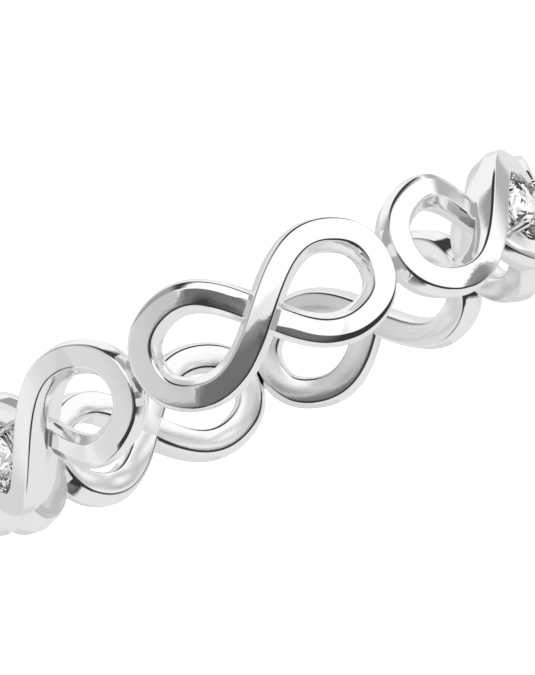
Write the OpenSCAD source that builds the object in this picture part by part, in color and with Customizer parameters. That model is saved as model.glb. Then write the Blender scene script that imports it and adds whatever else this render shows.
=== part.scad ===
// Infinity ring: seven figure-eight links cast end to end in one band, with
// a round clear stone in the outer loop of the two links beside the front one.
// The ring lies on its side: the finger axis is +Z and the front link faces -Y.

/* [Ring] */
// Diameter of the finger hole
bore_d = 17.3; // [15:0.1:20]
// Width of the band along the finger
band_w = 3.8; // [3.4:0.1:4.4]
// Radial depth of the strap, from the finger hole to the flat face
band_depth = 0.95; // [0.8:0.05:1.2]
// Number of infinity links round the band
link_count = 7; // [6:1:7]

/* [Strap] */
// Width of the flat outer face
face_w = 0.70; // [0.6:0.02:0.8]
// Width at the fullest line of the strap's sides
body_w = 1.04; // [0.96:0.02:1.14]
// Width of the flat face against the finger
inner_w = 0.80; // [0.7:0.02:0.9]
// Depth of the fullest line below the outer face
shoulder_drop = 0.38; // [0.3:0.02:0.5]
// How far the sides lean towards the opening of a loop, at their fullest line
lean = 0.08; // [0:0.01:0.1]
// Small bevel along the edges of both flat faces
edge_bevel = 0.06; // [0.04:0.01:0.1]

/* [Loops] */
// Length of band that two neighbouring links share where they are joined
joint_lap = 0.12; // [0.1:0.02:0.3]
// How far the upper strand stands proud where it crosses
over_rise = 0.28; // [0.2:0.02:0.4]
// How far the lower strand dips where it passes beneath
under_dip = 0.34; // [0.25:0.02:0.4]
// Half the stretch of the upper strand that rises, in degrees of the loop
rise_span = 46; // [36:1:54]
// Half the stretch of the lower strand that dips, in degrees of the loop
dip_span = 30; // [24:1:40]
// Slant of the rise's ends across the strap, in degrees of the loop per millimetre
rise_slant = 11; // [0:1:14]
// How much wider the bevel on the lower strand's outer edge grows near the crossing
crossing_bevel = 0.20; // [0:0.02:0.24]

/* [Stones] */
// Gap between a stone and its metal seat
stone_gap = 0.03; // [0.02:0.01:0.06]
// Depth of the girdle's upper edge below the outer face
girdle_drop = 0.06; // [0.04:0.01:0.12]
// Thickness of the girdle
girdle_t = 0.06; // [0.04:0.01:0.1]
// Height of the crown above the girdle
crown_h = 0.32; // [0.24:0.02:0.4]
// Width of the table
table_d = 1.20; // [1:0.05:1.3]
// Radius of a setting bead's rounded tip
bead_r = 0.15; // [0.12:0.01:0.18]
// Angle of the beads either side of the band's line
bead_angle = 28; // [20:1:40]
// Wall of the seat ring outside the stone
seat_wall = 0.14; // [0.1:0.02:0.2]
// Clear height between the finger and the seat ring
seat_lift = 0.15; // [0.12:0.01:0.25]
// Diameter of the light hole under the stone
light_hole_d = 1.0; // [0.8:0.05:1.1]

/* [Mesh] */
// Steps along one strand, from loop end to loop end
strand_steps = 28; // [20:2:30]

/* [Hidden] */

bore_r = bore_d / 2;
face_r = bore_r + band_depth;
link_angle = 360 / link_count;
half_pitch = PI * face_r / link_count;

// Height of the loop's centre line as shares of its second, fourth and
// sixth waves, which make the loops full and the crossing steep.
LOOP_WAVES = [1, -0.14, 0.05];

function wave(t) =
    LOOP_WAVES[0] * sin(2 * t) + LOOP_WAVES[1] * sin(4 * t) + LOOP_WAVES[2] * sin(6 * t);
function wave_slope(t) =
    2 * LOOP_WAVES[0] * cos(2 * t) + 4 * LOOP_WAVES[1] * cos(4 * t) + 6 * LOOP_WAVES[2] * cos(6 * t);

wave_top = max([for (t = [0:1:90]) wave(t)]);
loop_reach = half_pitch + joint_lap / 2 - body_w / 2;
loop_rise = ((band_w - body_w) / 2 + lean) / wave_top;

// Centre line of a link, unrolled: along the band, then across it.
function centre(t) = [loop_reach * cos(t), loop_rise * wave(t)];
function heading(t) = [-loop_reach * sin(t), loop_rise * wave_slope(t)];
function side_of(t) = let (h = heading(t)) [h[1], -h[0]] / norm(h);

// Arch that is 1 where the strands cross and meets the level strap at an angle.
function arch(d, span) = abs(d) >= span ? 0 : cos(90 * d / span);
function outer_r(t, offset) =
    face_r + over_rise * arch(t - 90 - rise_slant * offset, rise_span)
        - under_dip * arch(t - 270, dip_span);

// The lean at the face against the finger, as a multiple of the lean.
INNER_LEAN = 1.5;

// The crossing bevel's slope, and where beside the crossing it is widest and
// where it ends, in degrees of the loop.
BEVEL_SLOPE = 0.35;
BEVEL_WIDEST = 12;
BEVEL_END = 75;

// One side of the strap's section, with a wider bevel where one is asked for:
// offset from the centre line, share of the depth, multiple of the lean.
function half_section(bevel) = [
    [face_w / 2 - edge_bevel - bevel, 0, 0],
    [face_w / 2, (edge_bevel + BEVEL_SLOPE * bevel) / band_depth, 0],
    [body_w / 2, shoulder_drop / band_depth, 1],
    [inner_w / 2, 1 - edge_bevel / band_depth, INNER_LEAN],
    [inner_w / 2 - edge_bevel, 1, INNER_LEAN]
];
SECTION_POINTS = 2 * len(half_section(0));

// Side of the centre line, 1 or -1, that is outside the loop.
function outside(t) = sign(cos(t));

// The sides lean most at the top and bottom of a loop, and not where strands meet.
function lean_of(t) = -outside(t) * lean * pow(wave(t) / wave_top, 2);

// The lower strand's outer bevel is widest beside the crossing, and none beneath it.
function bevel_of(t) =
    let (d = abs(t - 270))
    crossing_bevel * min(d / BEVEL_WIDEST, max(0, 1 - d / BEVEL_END));

function section_of(t) =
    let (
        bevel = bevel_of(t),
        right = half_section(outside(t) > 0 ? bevel : 0),
        left = half_section(outside(t) > 0 ? 0 : bevel)
    )
    concat(right, [for (i = [len(left) - 1:-1:0]) [-left[i][0], left[i][1], left[i][2]]]);

// Wraps a point of the unrolled band round the finger hole.
function wrapped(along, across, r) =
    let (a = along / face_r * 180 / PI) [r * sin(a), -r * cos(a), across];

function ring_of(t) =
    let (c = centre(t), s = side_of(t), l = lean_of(t))
    [
        for (p = section_of(t))
            let (flat = c + s * (p[0] + l * p[2]), ro = outer_r(t, p[0]))
            wrapped(flat[0], flat[1], ro - p[1] * (ro - bore_r))
    ];

// Stretch of the loop, as shares of its reach, in which a stone may sit.
SEAT_FROM = 0.40;
SEAT_TO = 0.72;

// Largest round stone that the loop's opening takes, and where it sits.
function clear_r(along) =
    min([for (t = [-90:3:90]) norm(centre(t) - [along, 0])]) - face_w / 2;
seat_places = [for (share = [SEAT_FROM:0.01:SEAT_TO]) share * loop_reach];
seat_radii = [for (s = seat_places) clear_r(s)];
stone_r = max(seat_radii) - stone_gap;
stone_along = seat_places[search(max(seat_radii), seat_radii)[0]];
stone_angle = link_angle + stone_along / face_r * 180 / PI;
girdle_top_r = face_r - girdle_drop;
girdle_low_r = girdle_top_r - girdle_t;
pavilion_h = girdle_low_r - bore_r - stone_gap;

// One strand of a link, from the end of one loop to the end of the other.
module strand(from, to) {
    n = SECTION_POINTS;
    rings = [for (i = [0:strand_steps]) ring_of(from + (to - from) * i / strand_steps)];
    points = [for (ring = rings) each ring];
    sides = [
        for (i = [0:strand_steps - 1], j = [0:n - 1])
            let (k = (j + 1) % n) [i * n + j, (i + 1) * n + j, (i + 1) * n + k, i * n + k]
    ];
    first_end = [for (j = [0:n - 1]) j];
    last_end = [for (j = [n - 1:-1:0]) strand_steps * n + j];
    polyhedron(points, concat(sides, [first_end, last_end]), convexity = 6);
}

// The strands meet a quarter of a step past the tips, so that the facets of
// neighbouring links interleave where they are joined.
module link() {
    seam = 45 / strand_steps;
    strand(seam, 180 - seam);
    strand(180 - seam, 360 + seam);
}

// Moves a shape drawn round +Z to a stone's place, its +Z facing outward.
module at_stone(side, r) {
    rotate([0, 0, side * stone_angle])
        translate([0, -r, 0])
            rotate([90, 0, 0])
                children();
}

// Ring under the stone that joins the two sides of the loop and carries the beads.
module seat_ring() {
    seat_base = bore_r + seat_lift - girdle_low_r;
    seat_h = -seat_base - girdle_t;
    difference() {
        translate([0, 0, seat_base])
            cylinder(r = stone_r + seat_wall, h = seat_h, $fn = 32);
        translate([0, 0, seat_base - seat_h])
            cylinder(d = light_hole_d, h = 3 * seat_h, $fn = 24);
    }
}

// Bead that holds the stone: a round tip over the girdle on a slimmer foot.
// Its places outside the girdle and the foot's radius are shares of the tip's.
BEAD_TIP_OUT = 0.6;
BEAD_FOOT_OUT = 0.9;
BEAD_FOOT_SIZE = 0.8;

module setting_bead(turn) {
    rotate([0, 0, turn])
        hull() {
            translate([stone_r + BEAD_TIP_OUT * bead_r, 0, girdle_t + bead_r])
                sphere(r = bead_r, $fn = 12);
            translate([stone_r + BEAD_FOOT_OUT * bead_r, 0, -girdle_t - bead_r])
                sphere(r = BEAD_FOOT_SIZE * bead_r, $fn = 12);
        }
}

// The room that a stone takes, grown by the gap.
module stone_room() {
    r = stone_r + stone_gap;
    top = girdle_t + crown_h + stone_gap;
    rotate_extrude($fn = 48)
        polygon([
            [0, -pavilion_h - stone_gap],
            [r, -stone_gap],
            [r, girdle_t + stone_gap],
            [table_d / 2 + stone_gap, top],
            [table_d / 2 + stone_gap, top + crown_h],
            [0, top + crown_h]
        ]);
}

module band() {
    color("Silver")
        difference() {
            union() {
                for (i = [0:link_count - 1])
                    rotate([0, 0, i * link_angle])
                        link();
                for (side = [-1, 1])
                    at_stone(side, girdle_low_r) {
                        seat_ring();
                        for (turn = [bead_angle, -bead_angle, 180 - bead_angle, 180 + bead_angle])
                            setting_bead(turn);
                    }
            }
            for (side = [-1, 1])
                at_stone(side, girdle_low_r)
                    stone_room();
        }
}

// Radii of the star points and of the lower facets' tips, as shares of the stone's.
STAR_SHARE = 0.78;
LOWER_SHARE = 0.26;

function circle_points(count, r, z, start) =
    [for (i = [0:count - 1]) [r * cos(start + i * 360 / count), r * sin(start + i * 360 / count), z]];

// Round brilliant: table, star, kite and upper facets, girdle, lower facets and mains.
module brilliant() {
    star_r = STAR_SHARE * stone_r;
    lower_r = LOWER_SHARE * stone_r;
    star_z = girdle_t + (stone_r - star_r * cos(22.5)) * crown_h / (stone_r - table_d / 2);
    lower_z = -(stone_r - lower_r * cos(22.5)) * pavilion_h / stone_r;
    points = concat(
        circle_points(8, table_d / 2, girdle_t + crown_h, 0),
        circle_points(8, star_r, star_z, 22.5),
        circle_points(16, stone_r, girdle_t, 0),
        circle_points(16, stone_r, 0, 0),
        circle_points(8, lower_r, lower_z, 22.5),
        [[0, 0, -pavilion_h]]
    );
    table = [[for (i = [7:-1:0]) i]];
    stars = [for (i = [0:7]) [i, (i + 1) % 8, 8 + i]];
    kites = [for (i = [0:7]) [i, 8 + i, 16 + 2 * i, 8 + (i + 7) % 8]];
    uppers = [
        for (i = [0:7], h = [0, 1])
            [8 + i, 16 + (2 * i + 1 + h) % 16, 16 + (2 * i + h) % 16]
    ];
    girdle = [for (i = [0:15]) [16 + i, 16 + (i + 1) % 16, 32 + (i + 1) % 16, 32 + i]];
    lowers = [
        for (i = [0:7], h = [0, 1])
            [48 + i, 32 + (2 * i + h) % 16, 32 + (2 * i + 1 + h) % 16]
    ];
    mains = [for (i = [0:7]) [56, 48 + (i + 7) % 8, 32 + 2 * i, 48 + i]];
    polyhedron(points, concat(table, stars, kites, uppers, girdle, lowers, mains), convexity = 2);
}

module stone(side) {
    color("AliceBlue")
        at_stone(side, girdle_low_r)
            brilliant();
}

module stone_left() {
    stone(-1);
}

module stone_right() {
    stone(1);
}

translate([0, 0, band_w / 2]) {
    band();
    stone_left();
    stone_right();
}
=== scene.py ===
"""An openwork silver ring of joined infinity links, with a round stone set in two of its loops.

The ring lies on its side on a pale floor, its finger axis along +Z and its front link towards -Y.
Shapes are worked out in millimetres, and a finished piece is in metres.
"""

import math

import bmesh
import bpy
import numpy as np
from mathutils import Matrix, Vector


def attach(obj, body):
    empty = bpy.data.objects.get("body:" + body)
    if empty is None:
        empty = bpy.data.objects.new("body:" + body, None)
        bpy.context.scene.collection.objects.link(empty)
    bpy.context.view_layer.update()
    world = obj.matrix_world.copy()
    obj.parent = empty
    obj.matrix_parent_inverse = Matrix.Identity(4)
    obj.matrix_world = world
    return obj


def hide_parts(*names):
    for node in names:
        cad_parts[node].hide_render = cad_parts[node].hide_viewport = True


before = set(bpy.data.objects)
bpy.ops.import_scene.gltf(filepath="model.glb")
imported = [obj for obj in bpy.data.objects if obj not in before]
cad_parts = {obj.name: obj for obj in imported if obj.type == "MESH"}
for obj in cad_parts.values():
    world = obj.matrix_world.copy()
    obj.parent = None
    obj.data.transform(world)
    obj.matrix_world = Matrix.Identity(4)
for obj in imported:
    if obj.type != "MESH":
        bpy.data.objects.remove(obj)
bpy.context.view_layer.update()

MM = 0.001

# The ring's sizes in millimetres, as in the part's source
BORE_R = 8.65
BAND_W = 3.8
BAND_DEPTH = 0.95
LINKS = 7
FACE_R = BORE_R + BAND_DEPTH
HALF_PITCH = math.pi * FACE_R / LINKS

# The strap that the links are bent from
FACE_W = 0.70
BODY_W = 1.04
INNER_W = 0.80
SHOULDER_DROP = 0.38
LEAN = 0.08
INNER_LEAN = 1.5
EDGE_BEVEL = 0.06
FACE_ROUNDING = 0.10
SHOULDER_ROUNDING = 0.14
INNER_ROUNDING = 0.12

# The loops
JOINT_LAP = 0.12
OVER_RISE = 0.28
UNDER_DIP = 0.34
RISE_SPAN = math.radians(46)
RISE_SLANT = math.radians(11)
DIP_SPAN = math.radians(30)
DIP_EASE = 0.2
LOOP_WAVES = (1, -0.14, 0.05)
STRAND_STEPS = 96
CROSSING_BEVEL = 0.20
BEVEL_SLOPE = 0.35
BEVEL_WIDEST = math.radians(12)
BEVEL_END = math.radians(75)

# The stones' settings
STONE_GAP = 0.03
GIRDLE_DROP = 0.06
GIRDLE_T = 0.06
CROWN_H = 0.32
TABLE_D = 1.20
BEAD_R = 0.15
BEAD_ANGLE = math.radians(28)
BEAD_TIP_OUT = 0.6
BEAD_FOOT_OUT = 0.9
BEAD_FOOT_SIZE = 0.8
SEAT_WALL = 0.14
SEAT_LIFT = 0.15
LIGHT_HOLE_D = 1.0
SEAT_ROUNDING = 0.04
SEAT_FROM = 0.40
SEAT_TO = 0.72
SEAT_TRY = 0.01
MERGE_GAP = 1e-5

# How far outside the finger's surface the softer polish there fades out
SOFT_POLISH_EDGE = (0.02, 0.10)

# The picture and the ring's middle in it, in pixels, and the camera that took it, in millimetres
PICTURE = (535, 675)
SENSOR = 36.0
LENS_PX = 6190
RING_PX = (260.3, 345.6)
CAMERA_DISTANCE = 185.7
CAMERA_AZIMUTH = math.radians(2.87)
CAMERA_ELEVATION = math.radians(5.14)
CAMERA_ROLL = math.radians(205.68)

# The floor and the lamp over it, in metres and watts
FLOOR_HALF = 3.0
LAMP_SIZE = 3.0
LAMP_HEIGHT = 2.0
LAMP_POWER = 30

# The light painted round the ring, by azimuth, which is 0 at the front and 90 at +X, and by elevation.
# A soft edge is (start, end) in degrees, a stretch lies between two soft edges, and a change is
# (amount, edge): the amount is added over the edge and stays added past it.
ROOM_LEVEL = 0.95
ROOM_CHANGES = [(-0.13, (-20, 0))]

# The bright strip at eye level, from behind the ring past its -X side and front to its +X side
STRIP_HEIGHTS = ((-44, -36), (30, 50))
STRIP_LEVEL = 0.8
STRIP_CHANGES = [
    (-0.32, (-136, -126)),
    (0.57, (-114, -98)),
    (-0.23, (-26, 2)),
    (-0.24, (4, 10)),
    (0.08, (28, 44)),
    (0.07, (50, 60)),
    (0.16, (66, 96)),
    (-0.2, (100, 120)),
]
LOW_STRIP_LEVEL = 1.05
LOW_STRIP_TOP = (-9, -7)
LOW_STRIP_SIDES = ((-98, -26), (8, 14))

# The dark screen above the strip, lighter at its foot, with a stretch where it hangs lower
UPPER_SIDES = ((-105, -75), (75, 105))
UPPER_FOOT = 4
UPPER_FOOT_CHANGES = [(-2, (-26, -16)), (-6, (-4, 0)), (0.4, (28, 36)), (40, (52, 62))]
UPPER_FOOT_EDGE = (-0.4, 0.4)
UPPER_TOP = 42
UPPER_TOP_CHANGES = [(16, (-66, -50))]
UPPER_TOP_EDGE = (0, 8)
HANGING_SIDES = ((-18, -14), (-4, 0))
HANGING_DROP = 4
HANGING_SHADE = 0.13
FOOT_LEVEL = 0.30
MIDDLE_LEVEL = 0.17
MIDDLE_EDGE = (0, 6)

# Its darkest part, which starts higher above the foot on the +X side than on the -X side
DARKEST_LEVEL = 0.04
DARKEST_FROM_MINUS_X = (2, 7)
DARKEST_FROM_PLUS_X = (10, 30)
DARKEST_TURN = (-4, 4)

# The dark screen below the strip
LOWER_SIDES = ((-104, -92), (75, 105))
LOWER_TOP = (-38, -28)
LOWER_LEVEL = 0.05
LOWER_CHANGES = [(0.31, (-4, 20))]

# What the metal mirrors twice, where the ray depth is 3, and what the stones let through
MIRRORED_TWICE_EDGE = (2.2, 2.8)
MIRRORED_TWICE_LEVEL = 0.75
SOFTENING = 0.55
SOFTENING_CHANGES = [(-0.4, (-10, 30))]
THROUGH_STONE_EDGE = (0.2, 0.8)
THROUGH_STONE_GAIN = 1.45


class Wire:
    """A socket that can stand in a sum: each sum adds the Math node for it."""

    def __init__(self, tree, socket):
        self.tree = tree
        self.socket = socket

    def maths(self, operation, *values):
        return self.tree.add("ShaderNodeMath", {"operation": operation}, dict(enumerate(values)))

    def __add__(self, other):
        return self.maths("ADD", self, other)

    def __radd__(self, other):
        return self.maths("ADD", other, self)

    def __sub__(self, other):
        return self.maths("SUBTRACT", self, other)

    def __rsub__(self, other):
        return self.maths("SUBTRACT", other, self)

    def __mul__(self, other):
        return self.maths("MULTIPLY", self, other)

    def __rmul__(self, other):
        return self.maths("MULTIPLY", other, self)

    def __truediv__(self, other):
        return self.maths("DIVIDE", self, other)

    def step(self, low, high):
        """0 below low and 1 above high, with a soft edge between them."""
        return self.tree.add(
            "ShaderNodeMapRange",
            {"interpolation_type": "SMOOTHSTEP"},
            {"Value": self, "From Min": low, "From Max": high},
        )

    def within(self, first_edge, last_edge):
        """1 between two soft edges, and 0 outside them."""
        return self.step(*first_edge) * (1 - self.step(*last_edge))


class Tree:
    """A node tree that is written as expressions."""

    def __init__(self, nodes, links):
        self.nodes = nodes
        self.links = links

    def add(self, kind, settings=None, inputs=None, output=0):
        """New node with its settings and its sockets' values or wires, as a wire from one output."""
        node = self.nodes.new(kind)
        for name, value in (settings or {}).items():
            setattr(node, name, value)
        for key, value in (inputs or {}).items():
            self.feed(node.inputs[key], value)
        return Wire(self, node.outputs[output]) if node.outputs else node

    def feed(self, socket, value):
        if isinstance(value, Wire):
            self.links.new(value.socket, socket)
        elif isinstance(value, list):
            for wire in value:
                self.links.new(wire.socket, socket)
        else:
            socket.default_value = value

    def parts_of(self, vector):
        node = self.nodes.new("ShaderNodeSeparateXYZ")
        self.feed(node.inputs[0], vector)
        return [Wire(self, socket) for socket in node.outputs]


def blend(below, above, amount):
    """From below to above, by an amount between 0 and 1."""
    return below + amount * (above - below)


def changed(level, changes, angle):
    """A level after the changes that an angle has gone past."""
    for amount, edge in changes:
        level = level + amount * angle.step(*edge)
    return level


# Formulas of the links

def wave(t):
    """Height of the link's figure at turn t, as a share of its rise."""
    return sum(share * np.sin(2 * (i + 1) * t) for i, share in enumerate(LOOP_WAVES))


def wave_slope(t):
    """How fast that height changes with the turn."""
    return sum(2 * (i + 1) * share * np.cos(2 * (i + 1) * t) for i, share in enumerate(LOOP_WAVES))


WAVE_TOP = float(np.max(wave(np.radians(np.arange(0, 91)))))
LOOP_REACH = HALF_PITCH + JOINT_LAP / 2 - BODY_W / 2
LOOP_RISE = ((BAND_W - BODY_W) / 2 + LEAN) / WAVE_TOP


def centre_line(t):
    """Along and across the unrolled band, at turn t of the link's figure."""
    return np.stack([LOOP_REACH * np.cos(t), LOOP_RISE * wave(t)], axis=-1)


def side_of(t):
    """Direction to the strap's side, square to the centre line."""
    heading = np.stack([-LOOP_REACH * np.sin(t), LOOP_RISE * wave_slope(t)], axis=-1)
    heading /= np.linalg.norm(heading, axis=-1, keepdims=True)
    return np.stack([heading[..., 1], -heading[..., 0]], axis=-1)


def arch(distance, span):
    """Arch of height 1 that ends at the span on either side."""
    return np.where(np.abs(distance) >= span, 0, np.cos(np.pi / 2 * distance / span))


def eased_arch(distance, span):
    """The arch with its ends, a share of the span long, polished into what lies beside them."""
    share = np.abs(distance) / span
    ease = np.pi / (8 * DIP_EASE) * np.maximum(0, 1 + DIP_EASE - share) ** 2
    return np.where(share < 1 - DIP_EASE, arch(distance, span), ease)


def outer_radius(t, offset):
    """Radius of the strap's outer face at turn t, at an offset from the centre line."""
    rise = OVER_RISE * arch(t - np.pi / 2 - RISE_SLANT * offset, RISE_SPAN)
    dip = UNDER_DIP * eased_arch(t - 3 * np.pi / 2, DIP_SPAN)
    return FACE_R + rise - dip


def lean_of(t):
    """How far the sides lean towards the loop's opening, at their fullest line."""
    return -np.sign(np.cos(t)) * LEAN * (wave(t) / WAVE_TOP) ** 2


def rounded(corners, steps, flat_points):
    """Outline of a convex polygon whose corners (x, y, rounding) are arcs, with points along its flats."""
    outline = []
    count = len(corners)
    arcs = []
    for i, (x, y, rounding) in enumerate(corners):
        here = np.array([x, y])
        back = np.array(corners[i - 1][:2]) - here
        ahead = np.array(corners[(i + 1) % count][:2]) - here
        back /= np.linalg.norm(back)
        ahead /= np.linalg.norm(ahead)
        half = math.acos(float(back @ ahead)) / 2
        middle = here + (back + ahead) / np.linalg.norm(back + ahead) * rounding / math.sin(half)
        first = here + back * rounding / math.tan(half) - middle
        last = here + ahead * rounding / math.tan(half) - middle
        sweep = math.pi - 2 * half
        shares = np.linspace(0, 1, steps + 1)[:, None]
        arc = first * np.sin((1 - shares) * sweep) + last * np.sin(shares * sweep)
        arcs.append(middle + arc / math.sin(sweep))
    for i, arc in enumerate(arcs):
        following = arcs[(i + 1) % count][0]
        flat = np.linspace(arc[-1], following, flat_points + 2)[1:-1]
        outline += [*arc, *flat]
    return np.array(outline)


def lean_share(depth):
    """Multiple of the lean at a share of the strap's depth."""
    bevel = EDGE_BEVEL / BAND_DEPTH
    return np.interp(depth, [bevel, SHOULDER_DROP / BAND_DEPTH, 1 - bevel], [0, 1, INNER_LEAN])


# Length of bevel that the rounding of a plain face edge takes up, so that it is one arc
EDGE_TURN = math.atan2(SHOULDER_DROP, (BODY_W - FACE_W) / 2)
BEVEL_TILT = math.atan(BEVEL_SLOPE)
PLAIN_BEVEL = FACE_ROUNDING * (math.tan(BEVEL_TILT / 2) + math.tan((EDGE_TURN - BEVEL_TILT) / 2))


def half_section(bevel):
    """Corners (offset, depth, rounding) of one side of the strap, from face to finger."""
    length = PLAIN_BEVEL + bevel
    return [
        (FACE_W / 2 - length, 0, FACE_ROUNDING),
        (FACE_W / 2, BEVEL_SLOPE * length, FACE_ROUNDING),
        (BODY_W / 2, SHOULDER_DROP, SHOULDER_ROUNDING),
        (INNER_W / 2, BAND_DEPTH, INNER_ROUNDING),
    ]


def strap_section(t):
    """Offset from the centre line and share of the depth, round the strap at turn t."""
    aside = abs(t - 3 * math.pi / 2)
    bevel = CROSSING_BEVEL * min(aside / BEVEL_WIDEST, max(0, 1 - aside / BEVEL_END))
    outward = math.cos(t) > 0
    half = half_section(bevel if outward else 0)
    other_half = half_section(0 if outward else bevel)
    mirrored = [(-x, y, rounding) for x, y, rounding in reversed(other_half)]
    return rounded(half + mirrored, steps=4, flat_points=1) / (1, BAND_DEPTH)


def new_object(name, data):
    thing = bpy.data.objects.new(name, data)
    bpy.context.scene.collection.objects.link(thing)
    return thing


def shape_from(points, faces):
    shape = bmesh.new()
    corners = [shape.verts.new(point) for point in points]
    for face in faces:
        shape.faces.new([corners[i] for i in face])
    return shape


def finished(name, shape):
    """New object of a shape, with outward faces."""
    bmesh.ops.recalc_face_normals(shape, faces=shape.faces)
    mesh = bpy.data.meshes.new(name)
    shape.to_mesh(mesh)
    shape.free()
    return new_object(name, mesh)


def strand(name, start, end):
    """The strap swept along one strand of the front link, closed at both ends."""
    turns = np.linspace(start, end, STRAND_STEPS + 1)
    sections = np.stack([strap_section(turn) for turn in turns])
    t = np.mod(turns, 2 * np.pi)[:, None]
    offset = sections[..., 0]
    depth = sections[..., 1]
    leaning = offset + lean_of(t) * lean_share(depth)
    flat = centre_line(t) + side_of(t) * leaning[..., None]
    outer = outer_radius(t, offset)
    radius = outer - depth * (outer - BORE_R)
    angle = flat[..., 0] / FACE_R
    rings = np.stack([radius * np.sin(angle), -radius * np.cos(angle), flat[..., 1]], axis=-1)
    points = np.round(rings.reshape(-1, 3), 6)
    count = depth.shape[1]
    faces = []
    for i in range(STRAND_STEPS):
        for j in range(count):
            k = (j + 1) % count
            faces.append((i * count + j, i * count + k, (i + 1) * count + k, (i + 1) * count + j))
    last = STRAND_STEPS * count
    for j in range(1, count - 1):
        faces.append((0, j, j + 1))
        faces.append((last, last + j + 1, last + j))
    return finished(name, shape_from(points, faces))


# Formulas of the stones' places

def clear_radius(along):
    """Free radius inside the loop round a place on the link's axis."""
    t = np.radians(np.arange(-90, 91, 3))
    return float(np.min(np.linalg.norm(centre_line(t) - (along, 0), axis=-1))) - FACE_W / 2


SEAT_PLACES = [share * LOOP_REACH for share in np.arange(SEAT_FROM, SEAT_TO, SEAT_TRY)]
STONE_ALONG = max(SEAT_PLACES, key=clear_radius)
STONE_R = clear_radius(STONE_ALONG) - STONE_GAP
STONE_ANGLE = 2 * math.pi / LINKS + STONE_ALONG / FACE_R
GIRDLE_R = FACE_R - GIRDLE_DROP - GIRDLE_T


def lathe(name, profile, steps):
    """Solid of revolution round +Z from a closed profile of (radius, height)."""
    count = len(profile)
    points = []
    faces = []
    for i in range(steps):
        turn = 2 * math.pi * i / steps
        points += [(r * math.cos(turn), r * math.sin(turn), h) for r, h in profile]
        for j in range(count):
            k = (j + 1) % count
            n = (i + 1) % steps
            if profile[j][0] or profile[k][0]:
                faces.append((i * count + j, i * count + k, n * count + k, n * count + j))
    shape = shape_from(points, faces)
    bmesh.ops.remove_doubles(shape, verts=shape.verts, dist=MERGE_GAP)
    return finished(name, shape)


def seat_ring():
    """Ring under a stone, with its light hole."""
    base = BORE_R + SEAT_LIFT - GIRDLE_R
    outer = STONE_R + SEAT_WALL
    hole = LIGHT_HOLE_D / 2
    corners = [
        (hole, base, SEAT_ROUNDING),
        (outer, base, SEAT_ROUNDING),
        (outer, -GIRDLE_T, SEAT_ROUNDING),
        (hole, -GIRDLE_T, SEAT_ROUNDING),
    ]
    return lathe("seat_ring", rounded(corners, steps=4, flat_points=0), steps=64)


def stone_room():
    """The room that a stone takes, grown by the gap."""
    pavilion = GIRDLE_R - BORE_R - STONE_GAP
    table = TABLE_D / 2 + STONE_GAP
    top = GIRDLE_T + CROWN_H + STONE_GAP
    profile = [
        (0, -pavilion - STONE_GAP),
        (STONE_R + STONE_GAP, -STONE_GAP),
        (STONE_R + STONE_GAP, GIRDLE_T + STONE_GAP),
        (table, top),
        (table, top + CROWN_H),
        (0, top + CROWN_H),
    ]
    return lathe("stone_room", profile, steps=96)


def setting_bead():
    """Bead that holds the stone: a round tip over the girdle on a slimmer foot."""
    places = [
        (STONE_R + BEAD_TIP_OUT * BEAD_R, GIRDLE_T + BEAD_R, BEAD_R),
        (STONE_R + BEAD_FOOT_OUT * BEAD_R, -GIRDLE_T - BEAD_R, BEAD_FOOT_SIZE * BEAD_R),
    ]
    shape = bmesh.new()
    for out, height, radius in places:
        place = Matrix.Translation((out, 0, height))
        bmesh.ops.create_uvsphere(shape, u_segments=24, v_segments=16, radius=radius, matrix=place)
    bmesh.ops.delete(shape, geom=shape.faces, context="FACES_ONLY")
    hull = bmesh.ops.convex_hull(shape, input=shape.verts)
    inside = [part for part in hull["geom_interior"] if isinstance(part, bmesh.types.BMVert)]
    bmesh.ops.delete(shape, geom=inside, context="VERTS")
    return finished("setting_bead", shape)


BAND_INPUTS = {
    "Links": ("NodeSocketInt", LINKS),
    "Stone angle": ("NodeSocketFloat", STONE_ANGLE),
    "Girdle radius": ("NodeSocketFloat", GIRDLE_R),
    "Bead angle": ("NodeSocketFloat", BEAD_ANGLE),
    "Sharp angle": ("NodeSocketFloat", math.radians(28)),
    "Lower strand": ("NodeSocketObject", None),
    "Seat ring": ("NodeSocketObject", None),
    "Setting bead": ("NodeSocketObject", None),
    "Stone room": ("NodeSocketObject", None),
    "Metal": ("NodeSocketMaterial", None),
}


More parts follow.
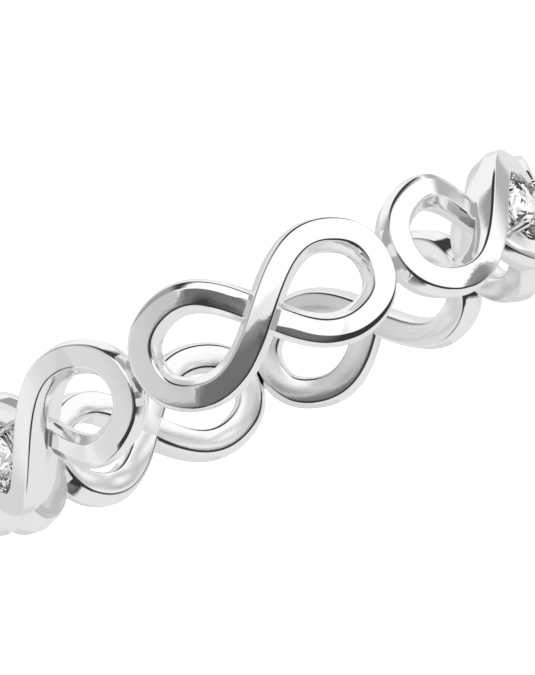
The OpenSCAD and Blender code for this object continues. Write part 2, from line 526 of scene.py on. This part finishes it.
def band_tree():
    """Geometry nodes that lay the strands round the ring, add the settings and fuse it all."""
    group = bpy.data.node_groups.new("band_of_links", "GeometryNodeTree")
    group.interface.new_socket("Upper strand", in_out="INPUT", socket_type="NodeSocketGeometry")
    for name, (kind, value) in BAND_INPUTS.items():
        group.interface.new_socket(name, in_out="INPUT", socket_type=kind)
    group.interface.new_socket("Band", in_out="OUTPUT", socket_type="NodeSocketGeometry")
    tree = Tree(group.nodes, group.links)
    source = group.nodes.new("NodeGroupInput")
    given = {socket.name: Wire(tree, socket) for socket in source.outputs}
    index = tree.add("GeometryNodeInputIndex")

    def shape_of(name):
        return tree.add("GeometryNodeObjectInfo", inputs={"Object": given[name]}, output="Geometry")

    def turned_copies(shape, count, turn):
        points = tree.add("GeometryNodePoints", inputs={"Count": count})
        euler = tree.add("ShaderNodeCombineXYZ", inputs={"Z": turn})
        rotation = tree.add("FunctionNodeEulerToRotation", inputs={"Euler": euler})
        return tree.add(
            "GeometryNodeInstanceOnPoints",
            inputs={"Points": points, "Instance": shape, "Rotation": rotation},
        )

    def placed_at_stones(shape):
        outward = tree.add(
            "GeometryNodeTransform",
            inputs={
                "Geometry": shape,
                "Translation": tree.add("ShaderNodeCombineXYZ", inputs={"Y": 0 - given["Girdle radius"]}),
                "Rotation": (math.pi / 2, 0, 0),
            },
        )
        return turned_copies(outward, 2, (2 * index - 1) * given["Stone angle"])

    link_turn = index * (2 * math.pi) / given["Links"]
    strands = [
        turned_copies(shape, given["Links"], link_turn)
        for shape in (given["Upper strand"], shape_of("Lower strand"))
    ]
    side = 2 * (index.maths("MODULO", index, 2)) - 1
    end = index.maths("FLOOR", index / 2)
    beads = turned_copies(shape_of("Setting bead"), 4, end * math.pi + side * given["Bead angle"])
    beads = tree.add("GeometryNodeRealizeInstances", inputs={"Geometry": beads})
    metal = [*strands, placed_at_stones(shape_of("Seat ring")), placed_at_stones(beads)]
    fused = tree.add(
        "GeometryNodeMeshBoolean",
        {"operation": "UNION", "solver": "MANIFOLD"},
        {"Mesh 2": metal},
    )
    rooms = placed_at_stones(shape_of("Stone room"))
    cut = tree.add(
        "GeometryNodeMeshBoolean",
        {"operation": "DIFFERENCE", "solver": "MANIFOLD"},
        {"Mesh 1": fused, "Mesh 2": rooms},
    )
    in_metres = tree.add(
        "GeometryNodeTransform",
        inputs={"Geometry": cut, "Translation": (0, 0, BAND_W / 2 * MM), "Scale": (MM, MM, MM)},
    )
    smooth = tree.add(
        "GeometryNodeSetShadeSmooth",
        {"domain": "FACE"},
        {"Geometry": in_metres, "Shade Smooth": True},
    )
    edge_angle = tree.add("GeometryNodeInputMeshEdgeAngle")
    is_sharp = tree.add(
        "FunctionNodeCompare",
        {"data_type": "FLOAT", "operation": "GREATER_THAN"},
        {0: edge_angle, 1: given["Sharp angle"]},
    )
    creased = tree.add(
        "GeometryNodeSetShadeSmooth",
        {"domain": "EDGE"},
        {"Geometry": smooth, "Selection": is_sharp, "Shade Smooth": False},
    )
    realized = tree.add("GeometryNodeRealizeInstances", inputs={"Geometry": creased})
    painted = tree.add(
        "GeometryNodeSetMaterial",
        inputs={"Geometry": realized, "Material": given["Metal"]},
    )
    result = group.nodes.new("NodeGroupOutput")
    tree.feed(result.inputs["Band"], painted)
    return group


def make_band(metal):
    """The whole cast band as one mesh, with a polished face's even normals."""
    seam = math.pi / 4 / STRAND_STEPS
    band = strand("band_upper", seam, math.pi - seam)
    helpers = {
        "Lower strand": strand("band_lower", math.pi - seam, 2 * math.pi + seam),
        "Seat ring": seat_ring(),
        "Setting bead": setting_bead(),
        "Stone room": stone_room(),
    }
    modifier = band.modifiers.new("links", "NODES")
    modifier.node_group = band_tree()
    for item in modifier.node_group.interface.items_tree:
        if item.in_out != "INPUT" or item.name not in BAND_INPUTS:
            continue
        value = BAND_INPUTS[item.name][1]
        if item.name in helpers:
            value = helpers[item.name]
        if item.name == "Metal":
            value = metal
        modifier[item.identifier] = value
    even = band.modifiers.new("even", "WEIGHTED_NORMAL")
    even.mode = "FACE_AREA"
    even.keep_sharp = True
    mesh = bpy.data.meshes.new_from_object(band.evaluated_get(bpy.context.evaluated_depsgraph_get()))
    for helper in (band, *helpers.values()):
        bpy.data.objects.remove(helper)
    return new_object("cast_band", mesh)


def new_material(name):
    material = bpy.data.materials.new(name)
    material.use_nodes = True
    material.node_tree.nodes.clear()
    return material, Tree(material.node_tree.nodes, material.node_tree.links)


def polished_silver():
    """Bright silver with a faint polishing grain and the smallest waves in its faces."""
    material, tree = new_material("polished_silver")
    place = tree.add("ShaderNodeTexCoord", output="Object")
    grain = tree.add(
        "ShaderNodeTexNoise",
        inputs={"Vector": place, "Scale": 9000.0, "Detail": 3.0, "Roughness": 0.6},
    )
    cloud = tree.add(
        "ShaderNodeTexNoise",
        inputs={"Vector": place, "Scale": 700.0, "Detail": 2.0},
    )
    colour = tree.add(
        "ShaderNodeMix",
        {"data_type": "RGBA"},
        {0: cloud, 6: (0.93, 0.93, 0.925, 1), 7: (0.97, 0.97, 0.965, 1)},
        output=2,
    )
    x, y, _ = tree.parts_of(place)
    square = x * x + y * y
    radius = square.maths("SQRT", square)
    inside = 1 - radius.step(*((BORE_R + reach) * MM for reach in SOFT_POLISH_EDGE))
    bump = tree.add(
        "ShaderNodeBump",
        inputs={"Strength": 0.04, "Distance": 0.00002, "Height": grain},
    )
    surface = tree.add(
        "ShaderNodeBsdfPrincipled",
        inputs={
            "Base Color": colour,
            "Metallic": 1.0,
            "Roughness": 0.025 + 0.03 * cloud + 0.09 * inside,
            "Normal": bump,
        },
    )
    tree.add("ShaderNodeOutputMaterial", inputs={"Surface": surface})
    return material


def cut_stone():
    """Clear stone that bends light strongly, with the faintest grain left by polishing."""
    material, tree = new_material("cut_stone")
    place = tree.add("ShaderNodeTexCoord", output="Object")
    grain = tree.add("ShaderNodeTexNoise", inputs={"Vector": place, "Scale": 4000.0, "Detail": 2.0})
    surface = tree.add(
        "ShaderNodeBsdfPrincipled",
        inputs={
            "Base Color": (1, 1, 1, 1),
            "Roughness": 0.02 + 0.02 * grain,
            "IOR": 1.9,
            "Transmission Weight": 1.0,
        },
    )
    tree.add("ShaderNodeOutputMaterial", inputs={"Surface": surface})
    return material


def pale_floor():
    material, tree = new_material("pale_floor")
    surface = tree.add(
        "ShaderNodeBsdfPrincipled",
        inputs={
            "Base Color": (0.9, 0.9, 0.9, 1),
            "Roughness": 0.9,
            "Specular IOR Level": 0.0,
            "Emission Color": (1, 1, 1, 1),
            "Emission Strength": 0.9,
        },
    )
    tree.add("ShaderNodeOutputMaterial", inputs={"Surface": surface})
    return material


def make_floor():
    """The floor, which neither the metal's mirrors nor the stones show."""
    half = FLOOR_HALF
    corners = [(-half, -half, 0), (half, -half, 0), (half, half, 0), (-half, half, 0)]
    floor = finished("floor", shape_from(corners, [(0, 1, 2, 3)]))
    floor.data.materials.append(pale_floor())
    floor.visible_glossy = False
    floor.visible_transmission = False


def make_studio():
    """Soft light from all round, painted by direction: a bright strip at eye level, white on one
    side and grey on the other, with dark screens in front of the ring above and below it. What the
    metal mirrors twice is softer, and the light that the stones let through is stronger."""
    world = bpy.data.worlds.new("studio")
    world.use_nodes = True
    world.node_tree.nodes.clear()
    tree = Tree(world.node_tree.nodes, world.node_tree.links)
    x, y, z = tree.parts_of(tree.add("ShaderNodeTexCoord", output="Generated"))
    elevation = z.maths("ARCSINE", z) * (180 / math.pi)
    azimuth = x.maths("ARCTAN2", x, 0 - y) * (180 / math.pi)

    room = changed(ROOM_LEVEL, ROOM_CHANGES, elevation)
    strip = changed(STRIP_LEVEL, STRIP_CHANGES, azimuth)
    low_strip = (1 - elevation.step(*LOW_STRIP_TOP)) * azimuth.within(*LOW_STRIP_SIDES)
    strip = blend(strip, LOW_STRIP_LEVEL, low_strip)

    above_foot = elevation - changed(UPPER_FOOT, UPPER_FOOT_CHANGES, azimuth)
    above_top = elevation - changed(UPPER_TOP, UPPER_TOP_CHANGES, azimuth)
    hanging = azimuth.within(*HANGING_SIDES)
    upper_level = blend(FOOT_LEVEL - HANGING_SHADE * hanging, MIDDLE_LEVEL, above_foot.step(*MIDDLE_EDGE))
    on_minus_x = above_foot.step(*DARKEST_FROM_MINUS_X)
    on_plus_x = above_foot.step(*DARKEST_FROM_PLUS_X)
    darkest = blend(on_minus_x, on_plus_x, azimuth.step(*DARKEST_TURN))
    upper_level = blend(upper_level, DARKEST_LEVEL, darkest)
    upper_screen = (above_foot + HANGING_DROP * hanging).step(*UPPER_FOOT_EDGE)
    upper_screen = upper_screen * (1 - above_top.step(*UPPER_TOP_EDGE)) * azimuth.within(*UPPER_SIDES)

    lower_level = changed(LOWER_LEVEL, LOWER_CHANGES, azimuth)
    lower_screen = (1 - elevation.step(*LOWER_TOP)) * azimuth.within(*LOWER_SIDES)

    level = blend(room, strip, elevation.within(*STRIP_HEIGHTS))
    level = blend(level, lower_level, lower_screen)
    level = blend(level, upper_level, upper_screen)

    bounces = tree.add("ShaderNodeLightPath", output="Ray Depth")
    passes = tree.add("ShaderNodeLightPath", output="Transmission Depth")
    through_stone = passes.step(*THROUGH_STONE_EDGE)
    mirrored_twice = bounces.step(*MIRRORED_TWICE_EDGE) * (1 - through_stone)
    softening = changed(SOFTENING, SOFTENING_CHANGES, azimuth)
    level = blend(level, MIRRORED_TWICE_LEVEL, softening * mirrored_twice)
    level = level * blend(1, THROUGH_STONE_GAIN, through_stone)
    light = tree.add("ShaderNodeBackground", inputs={"Color": (1, 1, 1, 1), "Strength": level})
    tree.add("ShaderNodeOutputWorld", inputs={"Surface": light})
    bpy.context.scene.world = world


def make_floor_light():
    """A large soft light overhead that the metal's reflections don't show."""
    data = bpy.data.lights.new("overhead", "AREA")
    data.shape = "DISK"
    data.size = LAMP_SIZE
    data.energy = LAMP_POWER
    lamp = new_object("overhead", data)
    lamp.location = (0, 0, LAMP_HEIGHT)
    lamp.visible_glossy = False
    lamp.visible_transmission = False


def make_camera():
    """The camera that took the picture, standing above the floor and rolled as the picture is."""
    middle = Vector((0, 0, BAND_W / 2 * MM))
    away = Vector((
        math.sin(CAMERA_AZIMUTH) * math.cos(CAMERA_ELEVATION),
        -math.cos(CAMERA_AZIMUTH) * math.cos(CAMERA_ELEVATION),
        math.sin(CAMERA_ELEVATION),
    ))
    level_right = (-away).cross(Vector((0, 0, 1))).normalized()
    level_up = level_right.cross(-away)
    right = math.cos(CAMERA_ROLL) * level_right - math.sin(CAMERA_ROLL) * level_up
    up = math.sin(CAMERA_ROLL) * level_right + math.cos(CAMERA_ROLL) * level_up
    off_right = (PICTURE[0] / 2 - RING_PX[0]) / LENS_PX
    off_down = (PICTURE[1] / 2 - RING_PX[1]) / LENS_PX
    forward = (-away + off_right * right - off_down * up).normalized()
    right = forward.cross(up).normalized()
    up = right.cross(forward)
    data = bpy.data.cameras.new("camera")
    data.sensor_width = SENSOR
    data.lens = LENS_PX * SENSOR / max(PICTURE)
    data.clip_start = 0.001
    data.clip_end = 20
    camera = new_object("camera", data)
    turn = Matrix((right, up, -forward)).transposed().to_4x4()
    camera.matrix_world = Matrix.Translation(middle + CAMERA_DISTANCE * MM * away) @ turn
    bpy.context.scene.camera = camera


make_camera()
make_studio()
make_floor_light()
make_floor()
silver = polished_silver()
band = make_band(silver)
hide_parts("band")
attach(band, "root")
stone = cut_stone()
for name in ("stone_left", "stone_right"):
    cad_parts[name].data.materials.clear()
    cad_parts[name].data.materials.append(stone)

bpy.context.scene.view_settings.view_transform = "Standard"
